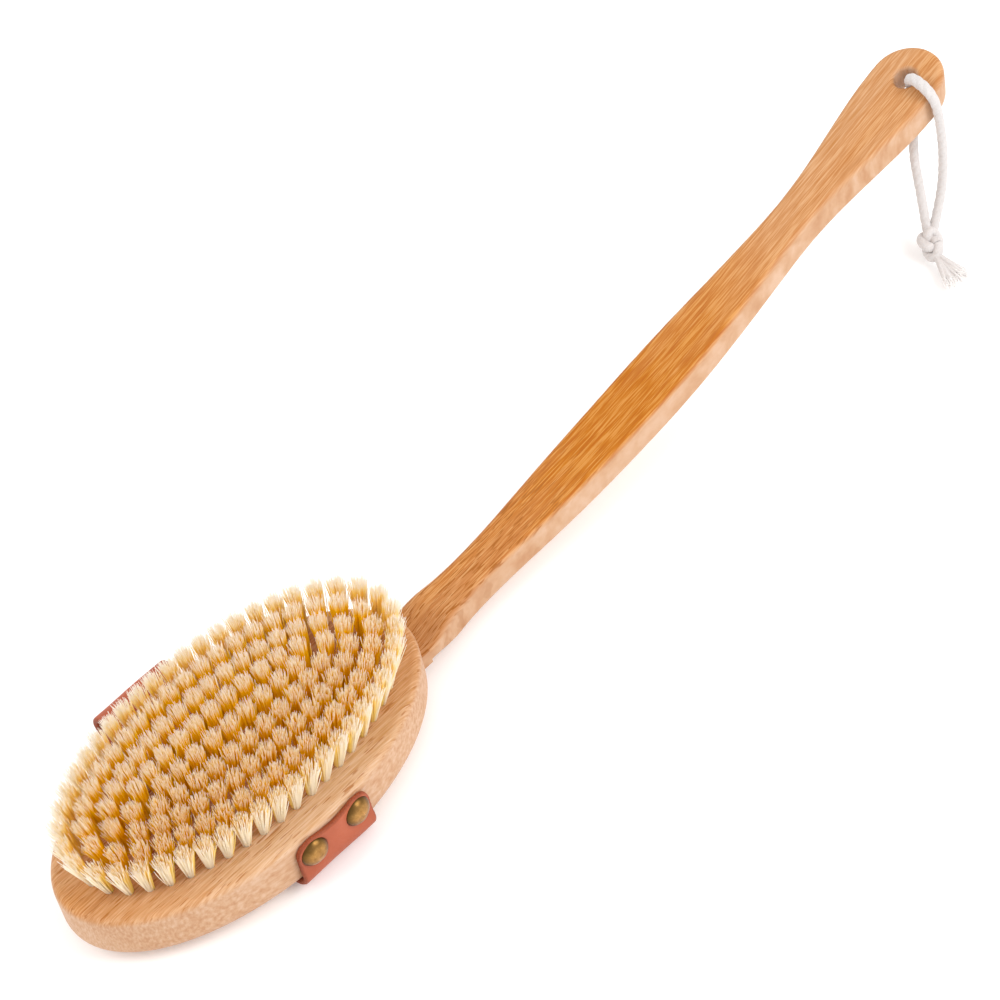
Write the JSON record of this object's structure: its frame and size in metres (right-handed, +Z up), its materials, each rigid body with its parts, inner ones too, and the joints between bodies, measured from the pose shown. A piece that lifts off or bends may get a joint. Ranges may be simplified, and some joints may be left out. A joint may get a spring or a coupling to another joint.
{
  "type": "long-handled body dry brush",
  "caption": "Oval beech brush head with natural bristle tufts, a leather hand strap across its back, and a long curved plug-in handle with a hanging cord",
  "frame": {"origin": "middle of the footprint, on the surface the brush lies on, measured without the cord", "axes": "+X runs from the head to the end of the handle, +Z is up and is the way the bristles point, +Y is the side the slack of the strap lies on"},
  "size_m": [0.406, 0.1032, 0.0631],
  "materials": {
    "beech_head": "oiled beech, warm honey colour with short dark flecks",
    "beech_handle": "oiled beech, grain along the handle",
    "strap_leather": "smooth tan leather with a darker burnished edge",
    "aged_brass": "antique brass, satin, darker at the rim",
    "pin_steel": "plain steel",
    "bristle": "natural plant or boar bristle, golden shafts and pale split tips",
    "anchor_wire": "flat bright wire",
    "cotton": "off-white soft cotton cord"
  },
  "bodies": {
    "head": {"head_block": "beech_head", "hand_strap": "strap_leather", "nail_caps": "aged_brass", "nail_pins": "pin_steel", "tufts_middle_row": "bristle", "tufts_ring_1": "bristle", "tufts_ring_2": "bristle", "tufts_ring_3": "bristle", "tufts_ring_4": "bristle", "anchors_middle_row": "anchor_wire", "anchors_ring_1": "anchor_wire", "anchors_ring_2": "anchor_wire", "anchors_ring_3": "anchor_wire", "anchors_ring_4": "anchor_wire"},
    "grip": {"handle": "beech_handle", "cord_loop": "cotton", "cord_knot": "cotton", "cord_tail_a": "cotton", "cord_tail_b": "cotton"}
  },
  "joints": [
    {"name": "handle_pull", "type": "slide", "parent": "head", "child": "grip", "axis": [1, 0, 0], "range_m": [0, 0.048]}
  ]
}
